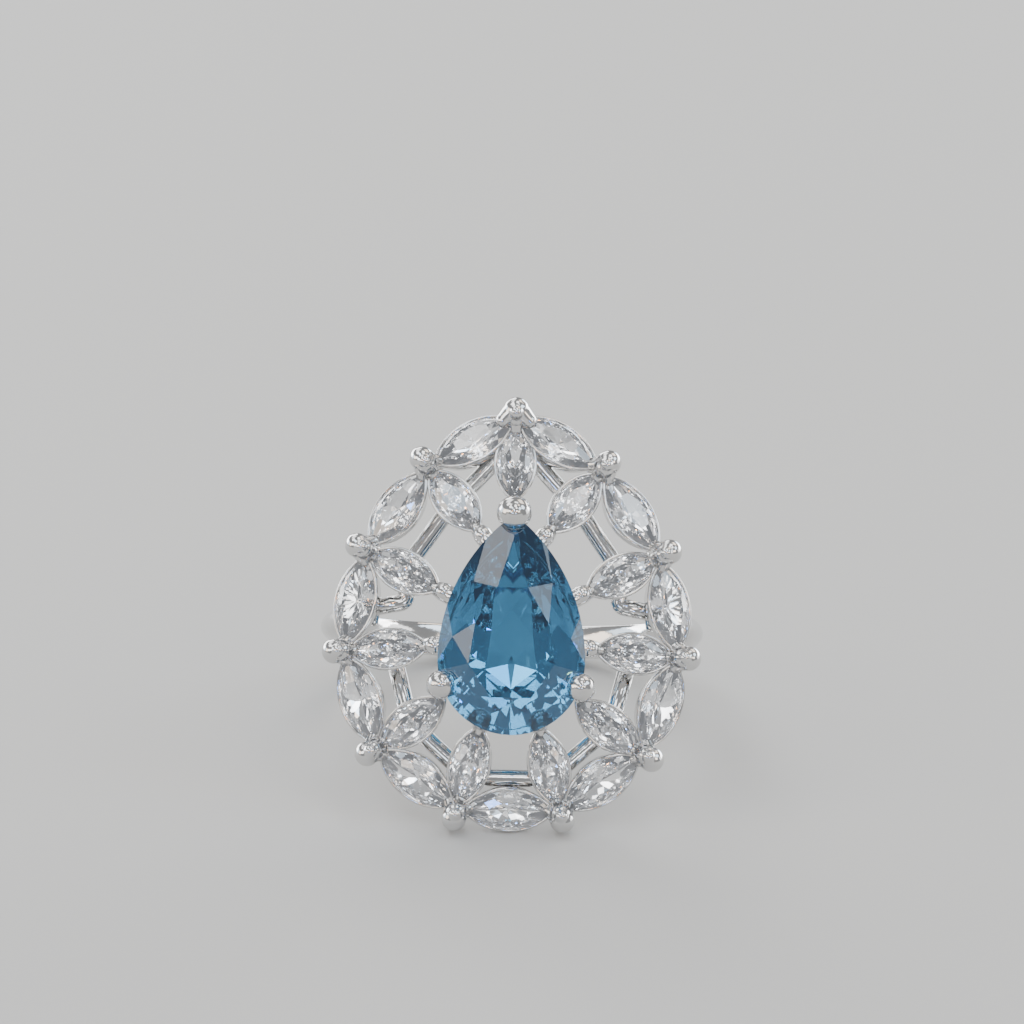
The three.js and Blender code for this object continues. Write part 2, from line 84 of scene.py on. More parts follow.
VIEW_ELEVATION = -5.4  # degrees, in the upright ring's frame, which LEAN tips back
CAMERA_ROLL = 1.19  # degrees
CAMERA_DISTANCE = 302
FOCAL_PIXELS = 5550
FRAME_PIXELS = 1024
SENSOR = 36
AIM = Vector((-0.13, -12.2, 5.56))
# The direction from the ring to the viewer, and the view's right and up.
VIEW_PITCH = math.radians(VIEW_ELEVATION)
VIEW_BACK = TIP @ Vector((0, -math.cos(VIEW_PITCH), math.sin(VIEW_PITCH)))
VIEW_RIGHT = Vector((1, 0, 0))
VIEW_UP = VIEW_BACK.cross(VIEW_RIGHT)


def make_camera():
    data = bpy.data.cameras.new("camera")
    data.sensor_width = SENSOR
    data.lens = FOCAL_PIXELS / FRAME_PIXELS * SENSOR
    data.clip_start = 0.01
    data.clip_end = 10
    camera = bpy.data.objects.new("camera", data)
    bpy.context.scene.collection.objects.link(camera)
    camera.location = (TIP @ AIM + VIEW_BACK * CAMERA_DISTANCE) * MM
    turn = (-VIEW_BACK).to_track_quat("-Z", "Y").to_matrix()
    turn = turn @ Matrix.Rotation(math.radians(CAMERA_ROLL), 3, "Z")
    camera.rotation_mode = "QUATERNION"
    camera.rotation_quaternion = turn.to_quaternion()
    bpy.context.scene.camera = camera


make_camera()

# ------------------------------------------------------------------ floor and light

FLOOR_HALF_SIZE = 0.45
FLOOR_COLOUR = (0.48, 0.48, 0.47)
FLOOR_ROUGHNESS = 0.7


def make_floor():
    level = CAD_BOX[0].z
    mesh = bpy.data.meshes.new("floor")
    corners = [(-1, -1), (1, -1), (1, 1), (-1, 1)]
    points = [(x * FLOOR_HALF_SIZE, y * FLOOR_HALF_SIZE, level) for x, y in corners]
    mesh.from_pydata(points, [], [(0, 1, 2, 3)])
    floor = bpy.data.objects.new("floor", mesh)
    bpy.context.scene.collection.objects.link(floor)
    material = bpy.data.materials.new("floor")
    material.use_nodes = True
    shader = material.node_tree.nodes["Principled BSDF"]
    shader.inputs["Base Color"].default_value = (*FLOOR_COLOUR, 1)
    shader.inputs["Roughness"].default_value = FLOOR_ROUGHNESS
    mesh.materials.append(material)


LIGHT_DISTANCE = 0.6
WHITE = (1, 1, 1)
COOL = (0.72, 0.86, 1.0)
WARM = (1.0, 0.86, 0.72)
SOFTBOX_TINTS = [WHITE, COOL, WHITE, WHITE, WARM]
# Softboxes in rings about the viewing direction: degrees off it, their number, where the first
# one stands (degrees anticlockwise from the right), their size in metres, and their radiance.
LIGHT_RINGS = [
    (14, 3, 90, 0.07, 6.5),
    (28, 5, 30, 0.13, 5.0),
    (48, 7, 12, 0.17, 4.6),
    (68, 8, 35, 0.25, 3.8),
    (96, 7, 10, 0.30, 2.6),
    (112, 2, 22, 0.22, 9.0),
    (112, 2, 158, 0.22, 9.0),
    (125, 5, 36, 0.26, 5.0),
    (136, 2, 36, 0.34, 8.0),
    (136, 2, 144, 0.34, 8.0),
]
SOFTBOX_ASPECT = 0.8
# Small tinted lights, for the coloured flashes that cut stones give.
GLINT_RING = (21, 6, 20, 0.035, 26)
GLINT_TINTS = [(1.0, 0.42, 0.14), (0.22, 0.42, 1.0)]
# The least upwards part of a light's direction: one below it would stand in the floor.
LOWEST_SOFTBOX = 0.08
LOWEST_GLINT = 0.06
WORLD_COLOUR = (0.40, 0.405, 0.41)


def softbox(name, place, size, radiance, colour):
    """A rectangular light that looks at the ring from a place in metres."""
    data = bpy.data.lights.new(name, "AREA")
    data.shape = "RECTANGLE"
    data.size = size
    data.size_y = size * SOFTBOX_ASPECT
    data.energy = radiance * math.pi * data.size * data.size_y
    data.color = colour
    light = bpy.data.objects.new(name, data)
    bpy.context.scene.collection.objects.link(light)
    light.location = place
    light.rotation_mode = "QUATERNION"
    light.rotation_quaternion = Vector(place).to_track_quat("Z", "Y")


def light_ring(name, ring, tints, lowest):
    """A ring of lights about the viewing direction, without those that would stand too low."""
    off, count, first, size, radiance = ring
    for i in range(count):
        turn = math.radians(first + 360 * i / count)
        aside = VIEW_RIGHT * math.cos(turn) + VIEW_UP * math.sin(turn)
        place = VIEW_BACK * math.cos(math.radians(off)) + aside * math.sin(math.radians(off))
        if place.z >= lowest:
            tint = tints[i % len(tints)]
            softbox(f"{name}_{i}", place * LIGHT_DISTANCE, size, radiance, tint)


def make_lights():
    for i, ring in enumerate(LIGHT_RINGS):
        first = 2 * i % len(SOFTBOX_TINTS)
        tints = SOFTBOX_TINTS[first:] + SOFTBOX_TINTS[:first]
        light_ring(f"softbox_{i}", ring, tints, LOWEST_SOFTBOX)
    light_ring("glint", GLINT_RING, GLINT_TINTS, LOWEST_GLINT)
    world = bpy.data.worlds.new("studio")
    bpy.context.scene.world = world
    world.use_nodes = True
    background = world.node_tree.nodes["Background"]
    background.inputs["Color"].default_value = (*WORLD_COLOUR, 1)
    background.inputs["Strength"].default_value = 1.0


make_floor()
make_lights()

# ------------------------------------------------------------------ materials

SILVER_SHADES = [(0.60, 0.60, 0.60), (0.73, 0.725, 0.715)]


def make_material(name):
    material = bpy.data.materials.new(name)
    material.use_nodes = True
    return material, material.node_tree.nodes["Principled BSDF"]


def add_node(material, kind, **inputs):
    node = material.node_tree.nodes.new(kind)
    for name, value in inputs.items():
        node.inputs[name.replace("_", " ")].default_value = value
    return node


def silver_material():
    """Rhodium plating: polished, with faint polishing waves and a gloss that varies a little."""
    material, shader = make_material("polished_silver")
    link = material.node_tree.links.new
    shader.inputs["Metallic"].default_value = 1
    place = add_node(material, "ShaderNodeTexCoord").outputs["Object"]
    tone = add_node(material, "ShaderNodeTexNoise", Scale=900, Detail=3)
    link(place, tone.inputs["Vector"])
    colour = add_node(material, "ShaderNodeValToRGB")
    for stop, shade in zip(colour.color_ramp.elements, SILVER_SHADES):
        stop.color = (*shade, 1)
    link(tone.outputs["Fac"], colour.inputs["Fac"])
    link(colour.outputs["Color"], shader.inputs["Base Color"])
    gloss = add_node(material, "ShaderNodeMapRange", To_Min=0.05, To_Max=0.15)
    link(tone.outputs["Fac"], gloss.inputs["Value"])
    link(gloss.outputs["Result"], shader.inputs["Roughness"])
    waves = add_node(material, "ShaderNodeTexNoise", Scale=1800, Detail=2)
    link(place, waves.inputs["Vector"])
    bump = add_node(material, "ShaderNodeBump", Strength=0.25, Distance=0.00004)
    link(waves.outputs["Fac"], bump.inputs["Height"])
    link(bump.outputs["Normal"], shader.inputs["Normal"])
    return material


def stone_material(name, shades, ior, transmission, painted_glow, painted_glow_strength):
    """A cut stone, whose tint drifts a little between two shades and whose polish is uneven, lit
    from within by a faint painted glow.
    """
    material, shader = make_material(name)
    link = material.node_tree.links.new
    shader.inputs["IOR"].default_value = ior
    shader.inputs["Transmission Weight"].default_value = transmission
    # Painted light: a faint even glow lifts the stone's dark facets, standing in for light
    # scattered inside it.
    shader.inputs["Emission Color"].default_value = (*painted_glow, 1)
    shader.inputs["Emission Strength"].default_value = painted_glow_strength
    zones = add_node(material, "ShaderNodeTexNoise", Scale=350, Detail=2)
    link(add_node(material, "ShaderNodeTexCoord").outputs["Object"], zones.inputs["Vector"])
    colour = add_node(material, "ShaderNodeValToRGB")
    for stop, shade in zip(colour.color_ramp.elements, shades):
        stop.color = (*shade, 1)
    link(zones.outputs["Fac"], colour.inputs["Fac"])
    link(colour.outputs["Color"], shader.inputs["Base Color"])
    polish = add_node(material, "ShaderNodeMapRange", To_Min=0.0, To_Max=0.02)
    link(zones.outputs["Fac"], polish.inputs["Value"])
    link(polish.outputs["Result"], shader.inputs["Roughness"])
    return material


SILVER = silver_material()
# Each stone's glow is painted light that lifts its darkest facets.
ZIRCONIA = stone_material(
    "cubic_zirconia", shades=[(0.95, 0.97, 1.0), (1.0, 1.0, 1.0)],
    ior=2.17, transmission=0.985, painted_glow=(0.85, 0.9, 1.0), painted_glow_strength=0.025)
TOPAZ = stone_material(
    "blue_topaz", shades=[(0.04, 0.215, 0.42), (0.06, 0.255, 0.46)],
    ior=1.66, transmission=0.97, painted_glow=(0.02, 0.09, 0.2), painted_glow_strength=0.05)

# ------------------------------------------------------------------ shapes
# A shape is an array of points in the upright ring's frame, in millimetres, and a list of faces.


def joined(shapes):
    points, faces, start = [], [], 0
    for shape_points, shape_faces in shapes:
        points.append(shape_points)
        faces += [tuple(start + i for i in face) for face in shape_faces]
        start += len(shape_points)
    return np.concatenate(points), faces


def skin(rings, closed=False):
    """A closed skin over rings that have the same number of points."""
    rings = np.asarray(rings, float)
    count, around, _ = rings.shape
    faces = []
    for i in range(count if closed else count - 1):
        low, high = i * around, (i + 1) % count * around
        for j in range(around):
            k = (j + 1) % around
            faces.append((low + j, low + k, high + k, high + j))
    if not closed:
        faces.append(tuple(reversed(range(around))))
        faces.append(tuple((count - 1) * around + j for j in range(around)))
    return rings.reshape(-1, 3), faces


WIRE_SIDES = 20
START_SIDE = (0.31, 0.77, 0.55)  # a direction that no wire starts along


def wire(points, radii, closed=False):
    """A round wire through points, with one radius or a radius for each."""
    points = np.asarray(points, float)
    radii = np.broadcast_to(radii, len(points))
    ahead = np.roll(points, -1, 0) if closed else np.vstack([points[1:], points[-1:]])
    behind = np.roll(points, 1, 0) if closed else np.vstack([points[:1], points[:-1]])
    rings = []
    side = None
    for point, tangent, radius in zip(points, ahead - behind, radii):
        tangent = tangent / np.linalg.norm(tangent)
        if side is None:
            side = np.cross(tangent, START_SIDE)
        side = side - tangent * (side @ tangent)
        side /= np.linalg.norm(side)
        up = np.cross(tangent, side)
        turn = np.arange(WIRE_SIDES) * 2 * math.pi / WIRE_SIDES
        rings.append(point + radius * (np.outer(np.cos(turn), side) + np.outer(np.sin(turn), up)))
    return skin(rings, closed)


def ball(center, radius, detail=4):
    mesh = bmesh.new()
    bmesh.ops.create_icosphere(mesh, subdivisions=detail, radius=radius)
    points = np.array([v.co for v in mesh.verts]) + np.array(center)
    faces = [tuple(v.index for v in face.verts) for face in mesh.faces]
    mesh.free()
    return points, faces


def rod(points, radii):
    """A wire with round ends."""
    radii = np.broadcast_to(radii, len(points))
    ends = [ball(points[0], radii[0], 3), ball(points[-1], radii[-1], 3)]
    return joined([wire(points, radii), *ends])


def to_mesh(name, shape):
    points, faces = shape
    mesh = bpy.data.meshes.new(name)
    mesh.from_pydata(points.tolist(), [], faces)
    mesh.update()
    return mesh


def cast(shapes, voxel, smoothing):
    """Shapes fused into one skin, with the joints between them rounded off as in a casting."""
    thing = bpy.data.objects.new("casting", to_mesh("casting", joined(shapes)))
    bpy.context.scene.collection.objects.link(thing)
    remesh = thing.modifiers.new("remesh", "REMESH")
    remesh.mode = "VOXEL"
    remesh.voxel_size = voxel
    smooth = thing.modifiers.new("smooth", "SMOOTH")
    smooth.factor = 0.5
    smooth.iterations = smoothing
    graph = bpy.context.evaluated_depsgraph_get()
    mesh = thing.evaluated_get(graph).to_mesh()
    flat = np.empty(len(mesh.vertices) * 3)
    mesh.vertices.foreach_get("co", flat)
    faces = [tuple(polygon.vertices) for polygon in mesh.polygons]
    bpy.data.objects.remove(thing)
    return flat.reshape(-1, 3), faces


def add_piece(name, shape, material, slot, *nodes):
    """A piece from a shape, standing for CAD nodes."""
    points, faces = shape
    mesh = to_mesh(name, (points @ np.array(TIP).T * MM, faces))
    mesh.shade_smooth()
    mesh.materials.append(material)
    piece = bpy.data.objects.new(name, mesh)
    bpy.context.scene.collection.objects.link(piece)
    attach(piece, "root")
    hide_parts(*nodes)
    return piece


# ------------------------------------------------------------------ the head's layout

low, high = node_box("pear_stone")
HEAD_CENTER = np.array([0, (low.y + high.y) / 2, (low.z + high.z) / 2])
HEAD_DROP = 2.0  # from the band's middle down to the middle of the ring of small stones
UP = np.array([0, -1.0, 0])  # out of the head, towards the viewer
RAYS = 11
TIP_LAYER = 0.01  # how near to a stone's tip a corner counts as the tip


def table_facing(mesh):
    """The direction of a stone's largest flat, its table, in the upright ring's frame."""
    areas = {}
    for face in mesh.polygons:
        key = tuple(round(value, 2) for value in face.normal)
        areas.setdefault(key, [0, face.normal.copy()])[0] += face.area
    return np.array(max(areas.values(), key=lambda entry: entry[0])[1]) @ np.array(TIP)


def stone_place(name):
    """A marquise stone's matrix, half length and half width.

    The matrix has its origin in the girdle's middle, X along the stone and Z out of its table.
    """
    vertices = node_vertices(name)
    facing = table_facing(frame["nodes"][name].data)
    flat = vertices - np.outer(vertices @ facing, facing)
    gaps = np.linalg.norm(flat[:, None] - flat[None], axis=2)
    first, second = np.unravel_index(gaps.argmax(), gaps.shape)
    along = flat[second] - flat[first]
    if along @ (vertices.mean(0) - HEAD_CENTER) < 0:
        along = -along
    half_length = np.linalg.norm(along) / 2
    along /= 2 * half_length
    side = np.cross(facing, along)
    local = vertices @ np.column_stack([along, side, facing])
    ends = local[:, 0] > local[:, 0].max() - TIP_LAYER
    level = local[ends, 2].max()
    middle = (local.max(0) + local.min(0)) / 2
    center = middle[0] * along + middle[1] * side + level * facing
    matrix = np.eye(4)
    matrix[:3] = np.column_stack([along, side, facing, center])
    return matrix, half_length, (local[:, 1].max() - local[:, 1].min()) / 2


def placed(matrix, points):
    return np.asarray(points, float) @ matrix[:3, :3].T + matrix[:3, 3]


def head_point(x, rise, level):
    """A point given across, up and out of the head."""
    return np.array([x, -level, rise - HEAD_DROP])


HALO = [stone_place(f"halo_stone_{k + 1:02d}") for k in range(RAYS)]
SPOKES = [stone_place(f"spoke_stone_{k + 1:02d}") for k in range(RAYS)]

# ------------------------------------------------------------------ outlines


def arc_through(half_chord, height):
    """The radius and half the angle of the arc over a chord."""
    radius = (half_chord ** 2 + height ** 2) / (2 * height)
    return radius, math.asin(half_chord / radius)


def marquise_point(half_length, half_width, share):
    """A point on a marquise's outline, at a share of the way round from its outer tip."""
    radius, reach = arc_through(half_length, half_width)
    turn = 1 if share < 0.5 else -1
    angle = reach * (1 - 4 * (share % 0.5))
    height = radius * math.cos(angle) - radius + half_width
    return np.array([radius * math.sin(angle), height]) * turn


def pear_point(half_width, rise, share):
    """A point on a pear's outline, at a share of the way round from its point.

    An arc runs down from the point on each side, and a half circle closes them below.
    """
    radius, reach = arc_through(rise, half_width)
    arc = reach * radius
    along = (arc + math.pi / 2 * half_width) * min(share, 1 - share) * 2
    if along < arc:
        angle = reach - along / radius
        point = np.array([half_width - radius + radius * math.cos(angle), radius * math.sin(angle)])
    else:
        angle = (along - arc) / half_width
        point = np.array([half_width * math.cos(angle), -half_width * math.sin(angle)])
    return point * (1 if share <= 0.5 else -1, 1)


# ------------------------------------------------------------------ collets and rim

COLLET_STEPS = 40
COLLET_FOOT = 0.86  # the foot's outline, as a share of the girdle's
COLLET_MITRE = 1.12  # how much further out the wall stands at the stone's tips
# The wall's section: how far up from foot to lip, offset from the girdle, level above the girdle.
COLLET_WALL = [
    (0.0, 0.03, -0.90), (0.0, 0.09, -0.88), (0.3, 0.13, -0.62), (0.7, 0.155, -0.30),
    (1.0, 0.155, -0.06), (1.0, 0.14, 0.01), (1.0, 0.11, 0.04), (1.0, 0.07, 0.045),
    (1.0, 0.02, 0.03), (1.0, -0.01, -0.02), (1.0, 0.0, -0.09), (0.6, 0.0, -0.35),
    (0.0, -0.03, -0.88),
]
LINK_RADIUS = 0.25
LINK_OVERLAP = 0.2
LINK_DEPTH = 0.55


def collet_line(half_length, half_width):
    """Points and outward normals round a marquise, closer together towards its tips."""
    radius, reach = arc_through(half_length, half_width)
    points, normals = [], []
    for turn in (1, -1):
        for i in range(COLLET_STEPS):
            angle = reach * math.cos(math.pi * i / COLLET_STEPS)
            normal = np.array([math.sin(angle), math.cos(angle)]) * turn
            points.append(normal * radius - np.array([0, turn * (radius - half_width)]))
            normals.append(np.array([turn * COLLET_MITRE, 0]) if i == 0 else normal)
    return np.array(points), np.array(normals)


def collet(place):
    """The thin wall that holds a small stone."""
    matrix, half_length, half_width = place
    points, normals = collet_line(half_length, half_width)
    rings = []
    for rise, offset, level in COLLET_WALL:
        scale = COLLET_FOOT + (1 - COLLET_FOOT) * rise
        flat = points * scale + normals * offset
        rings.append(placed(matrix, np.column_stack([flat, np.full(len(flat), level)])))
    return skin(rings, closed=True)


BEAD_LEVEL = -12.35
TOP_BEAD_RISE = 11.3


def claw_frame(k):
    """An outer claw's bead, the direction out of the ring there, and the one along the rim."""
    out = SPOKES[k][0][:3, 0] * np.array([1, 0, 1])
    out /= np.linalg.norm(out)
    if k == 0:
        bead = np.array([0, BEAD_LEVEL, TOP_BEAD_RISE])
    else:
        low, high = node_box(f"halo_claw_{k + 1:02d}")
        bead = np.array([(low.x + high.x) / 2, BEAD_LEVEL, (low.z + high.z) / 2])
    return bead, out, np.cross(UP, out)


def stone_end(place, bead):
    """A stone's tip nearest a bead, the direction back along the stone, and its facing."""
    matrix, half_length, _ = place
    center, along, facing = matrix[:3, 3], matrix[:3, 0], matrix[:3, 2]
    if (bead - center) @ along < 0:
        along = -along
    return center + along * half_length, -along, facing


def halo_rim():
    """The outer stones' collets, with a short link from each to the next."""
    shapes = [collet(place) for place in HALO]
    for k in range(RAYS):
        bead = claw_frame(k)[0]
        ends = []
        for place in (HALO[k - 1], HALO[k]):
            tip, back, facing = stone_end(place, bead)
            ends.append(tip + back * LINK_OVERLAP - facing * LINK_DEPTH)
        shapes.append(rod(ends, LINK_RADIUS))
    return joined(shapes)


# ------------------------------------------------------------------ outer claws

# A claw's leg, balls and hood, as (outwards, rise, aside, radius) from its bead.
CLAW_LEG = [(0.05, -1.45, 0, 0.40), (0.18, -0.75, 0, 0.54), (0.12, -0.15, 0, 0.64)]
CLAW_BEAD = (0.08, -0.08, 0, 0.68)
CLAW_CROWN = (-0.14, 0.42, 0, 0.37)
HOOD_LEG = [(0.05, -1.45, 0, 0.40), (0.0, -0.7, 0, 0.52), (-0.12, -0.10, 0, 0.62)]
HOOD_RIDGE = [(-0.14, -0.06, 0, 0.67), (-0.70, -0.12, 0, 0.44)]
HOOD_CROWN = (-0.34, 0.40, 0, 0.38)
HOOD_WING = [(-0.16, -0.06, 0.08, 0.64), (-0.76, -0.14, 0.72, 0.42)]
# The claw's fingers, and the web that fills the space between them.
FINGER_ROOT = (-0.05, -0.02)
FINGER_REACH = 0.16  # in over a stone from its tip
FINGER_RISE = -0.08
FINGER_RADII = (0.60, 0.40)
WEB_ROOT = (-0.30, 0.02)
WEB_RISE = 0.08
WEB_RADII = (0.58, 0.44)
CAST_VOXEL = 0.04


def halo_claw(k):
    """A claw on the rim, with a finger to each of the three stones that meet there."""
    bead, out, aside = claw_frame(k)

    def at(outwards, rise, sideways=0):
        return bead + out * outwards + UP * rise + aside * sideways

    def limb(run, side=1):
        points = [at(outwards, rise, side * sideways) for outwards, rise, sideways, _ in run]
        return rod(points, [radius for *_, radius in run])

    def lump(outwards, rise, sideways, radius):
        return ball(at(outwards, rise, sideways), radius)

    if k == 0:
        shapes = [limb(HOOD_LEG), limb(HOOD_RIDGE), lump(*HOOD_CROWN)]
        shapes += [limb(HOOD_WING, side) for side in (-1, 1)]
    else:
        shapes = [limb(CLAW_LEG), lump(*CLAW_BEAD), lump(*CLAW_CROWN)]
    tips = []
    for place in (HALO[k - 1], HALO[k], SPOKES[k]):
        tip, back, facing = stone_end(place, bead)
        tips.append(tip + back * FINGER_REACH + facing * FINGER_RISE)
        shapes.append(rod([at(*FINGER_ROOT), tips[-1]], FINGER_RADII))
    shapes.append(rod([at(*WEB_ROOT), np.mean(tips, 0) + UP * WEB_RISE], WEB_RADII))
    return cast(shapes, CAST_VOXEL, smoothing=4)


# ------------------------------------------------------------------ pear stone's surroundings

PEAR_LEVEL = 14.5  # of its girdle
PEAR_DROP = 0.73  # from the head's middle down to its widest place
PEAR_GAP = 0.01  # the least room between the stone and the metal round it


def pear_planes():
    """The planes of the pear stone's facets, as outward normals and distances."""
    mesh = frame["nodes"]["pear_stone"].data
    normals = np.array([face.normal for face in mesh.polygons]) @ np.array(TIP)
    centers = np.array([face.center for face in mesh.polygons]) / MM @ np.array(TIP)
    return normals, (normals * centers).sum(1)


PEAR_NORMALS, PEAR_DISTANCES = pear_planes()


def clear_of_pear(shape):
    """A shape with what would stand inside the pear stone pressed back to the stone's facets."""
    points, faces = shape
    depth = points @ PEAR_NORMALS.T - PEAR_DISTANCES - PEAR_GAP
    nearest = depth.argmax(1)
    deepest = np.minimum(depth[np.arange(len(points)), nearest], 0)
    return points - PEAR_NORMALS[nearest] * deepest[:, None], faces


BARE_SPOKES = (0, 4, 7)  # those whose inner tips lie under the pear stone's own claws
# An inner claw's parts, as (inwards from the stone's inner tip, level above its girdle, radius).
STUB = [(-0.30, -0.40, 0.38), (0.12, -0.14, 0.48), (1.0, -0.08, 0.54)]
GRIP = [(0.20, 0.0, 0.38), (-0.22, 0.12, 0.16)]
INNER_BEAD = (0.42, 0.0, 0.52)


def spoke_setting(k):
    """An inner stone's collet, with the claw that holds its inner tip."""
    matrix, half_length, _ = SPOKES[k]
    wall = collet(SPOKES[k])
    if k in BARE_SPOKES:
        return wall

    def inner(inwards, level):
        return placed(matrix, [[-half_length - inwards, 0, level]])[0]

    def limb(run):
        return rod([inner(inwards, level) for inwards, level, _ in run], [r for *_, r in run])

    inwards, level, radius = INNER_BEAD
    shapes = [limb(STUB), limb(GRIP), ball(inner(inwards, level), radius)]
    return joined([wall, clear_of_pear(cast(shapes, CAST_VOXEL, smoothing=3))])


# Each rail of the basket: half width, rise of the point, level.
BASKET_TOP = (3.35, 6.6, 13.2)
BASKET_BASE = (2.0, 4.0, 11.17)
BASKET_STRUTS = (0.12, 0.24, 0.42, 0.58, 0.76, 0.88)  # shares of the way round from the point
BASKET_STEPS = 96
RAIL_RADIUS = 0.33
STRUT_RADIUS = 0.26


def basket_rail(half_width, rise, level):
    rail = []
    for i in range(BASKET_STEPS):
        x, y = pear_point(half_width, rise, (0.5 - i / BASKET_STEPS) % 1)
        rail.append(head_point(x, y - PEAR_DROP, level))
    return rail


def pear_basket():
    """Two rails joined by struts, under the pear stone."""
    top, base = basket_rail(*BASKET_TOP), basket_rail(*BASKET_BASE)
    shapes = [wire(rail, RAIL_RADIUS, closed=True) for rail in (top, base)]
    for share in BASKET_STRUTS:
        i = round((share + 0.5) * BASKET_STEPS) % BASKET_STEPS
        shapes.append(rod([top[i], base[i]], STRUT_RADIUS))
    return clear_of_pear(joined(shapes))


SIDE_CLAW_TURN = math.radians(20)  # how far below the stone's widest place its side claws stand
SIDE_CLAW = (4, 2.4, 3.85, 0.80)
# Each claw: its direction from the stone's middle, and its reach, its places on the basket's
# base and top rails, and its bead's radius.
PEAR_CLAWS = {
    "point": ((0, 1), 8, 4.4, 7.1, 0.96),
    "left": ((-math.cos(SIDE_CLAW_TURN), -math.sin(SIDE_CLAW_TURN)), *SIDE_CLAW),
    "right": ((math.cos(SIDE_CLAW_TURN), -math.sin(SIDE_CLAW_TURN)), *SIDE_CLAW),
}
PEAR_CLAW_RADII = [0.38, 0.42, 0.45, 0.45]
PEAR_CLAW_BOW = 0.4  # how far a leg bows out past its bead's middle
PEAR_BEAD_LEVEL = PEAR_LEVEL + 0.25
# The crown's rise and radius, as shares of its bead's radius.
CROWN_RISE = 0.42
CROWN_SIZE = 0.66
PEAR_CLAW_VOXEL = 0.045


def pear_claw(direction, reach, base, top, bead):
    """A claw from the basket up over the pear stone's edge, with a bead and a smaller crown."""
    def at(out, level):
        return head_point(direction[0] * out, direction[1] * out - PEAR_DROP, level)

    leg = rod([
        at(base, BASKET_BASE[2]), at(top, BASKET_TOP[2]),
        at(reach + PEAR_CLAW_BOW, PEAR_LEVEL), at(reach, PEAR_BEAD_LEVEL),
    ], PEAR_CLAW_RADII)
    crown = ball(at(reach, PEAR_BEAD_LEVEL + bead * CROWN_RISE), bead * CROWN_SIZE)
    shapes = [leg, ball(at(reach, PEAR_BEAD_LEVEL), bead), crown]
    return cast(shapes, PEAR_CLAW_VOXEL, smoothing=2)


# ------------------------------------------------------------------ gallery

GALLERY_LEVEL = 11.55
GALLERY_BEND = 0.42
BEND_STEPS = 7
GALLERY_SECTION = [
    (-0.46, -0.12), (-0.44, -0.20), (-0.34, -0.265), (-0.28, -0.275),
    (0.28, -0.275), (0.34, -0.265), (0.44, -0.20), (0.46, -0.12),
    (0.46, 0.05), (0.44, 0.11), (0.20, 0.25), (0.14, 0.275),
    (-0.14, 0.275), (-0.20, 0.25), (-0.44, 0.11), (-0.46, 0.05),
]
# The right half of each wire's corners, across and up.
GALLERY_UPPER = [(0, 11.6), (3.6, 7.65), (5.9, 4.35), (5.75, 2.6), (8.05, 2.15)]
GALLERY_LOWER = [(2.2, -6.9), (5.45, -4.0), (6.6, 0.4)]


def rounded(corners):
    """A line of corners with each inner one rounded off."""
    line = [corners[0]]
    for before, corner, after in zip(corners, corners[1:], corners[2:]):
        into, out = before - corner, after - corner
        start = corner + into / np.linalg.norm(into) * GALLERY_BEND
        end = corner + out / np.linalg.norm(out) * GALLERY_BEND
        for t in np.linspace(0, 1, BEND_STEPS):
            line.append((1 - t) ** 2 * start + 2 * t * (1 - t) * corner + t * t * end)
    return np.array([*line, corners[-1]])


def gallery_wire(half):
    """A flat-sided wire behind the stones, the same on the left as on the right."""
    left = [(-x, y) for x, y in reversed(half)]
    right = half[1:] if half[0][0] == 0 else half
    line = rounded(np.array(left + right, float))
    rings = []
    for i, point in enumerate(line):
        into = point - line[max(i - 1, 0)]
        out = line[min(i + 1, len(line) - 1)] - point
        into = into / (np.linalg.norm(into) or 1)
        out = out / (np.linalg.norm(out) or 1)
        along = (into + out) / np.linalg.norm(into + out)
        stretch = 1 / max(along @ (into if i else out), 0.5)
        across = np.array([-along[1], along[0]]) * stretch
        rings.append([
            head_point(*(point + across * u), GALLERY_LEVEL + v) for u, v in GALLERY_SECTION])
    return skin(rings)


# ------------------------------------------------------------------ band

FINGER_RADIUS = 9.1
BAND_END = math.radians(20)  # how far the round part goes on past its widest place, to the head
BAND_STEPS = 128
SECTION_STEPS = 48
BAND_WIDTH = 1.9
BAND_THICKNESS = 1.7
BAND_EDGE = 0.35  # from the inner face out to the section's widest place
# What the shoulders lose towards their tops.
SHOULDER_NARROWING = 0.4
SHOULDER_THINNING = 0.85
SHOULDER_STEPS = 32
SHOULDER_TOP = np.array([7.25, 0.305 - GALLERY_LEVEL])
SHOULDER_PULL = 3


def bezier(a, b, c, d, t):
    s = 1 - t
    return s ** 3 * a + 3 * s * s * t * b + 3 * s * t * t * c + t ** 3 * d


def band_curve():
    """The inner face's points, from shoulder to shoulder, and the share slimmed at each."""
    low = FINGER_RADIUS * np.array([math.cos(BAND_END), -math.sin(BAND_END)])
    along = np.array([math.sin(BAND_END), math.cos(BAND_END)])
    control = [SHOULDER_TOP, SHOULDER_TOP + (0, SHOULDER_PULL), low - along * SHOULDER_PULL, low]
    shares = [i / SHOULDER_STEPS for i in range(SHOULDER_STEPS)]
    shoulder = [bezier(*control, share) for share in shares]
    arc = []
    for i in range(BAND_STEPS + 1):
        angle = -BAND_END + (math.pi + 2 * BAND_END) * i / BAND_STEPS
        arc.append(FINGER_RADIUS * np.array([math.cos(angle), math.sin(angle)]))
    mirror = [point * (-1, 1) for point in reversed(shoulder)]
    slim = [1 - share for share in shares]
    return np.array(shoulder + arc + mirror), np.array(slim + [0] * len(arc) + slim[::-1])


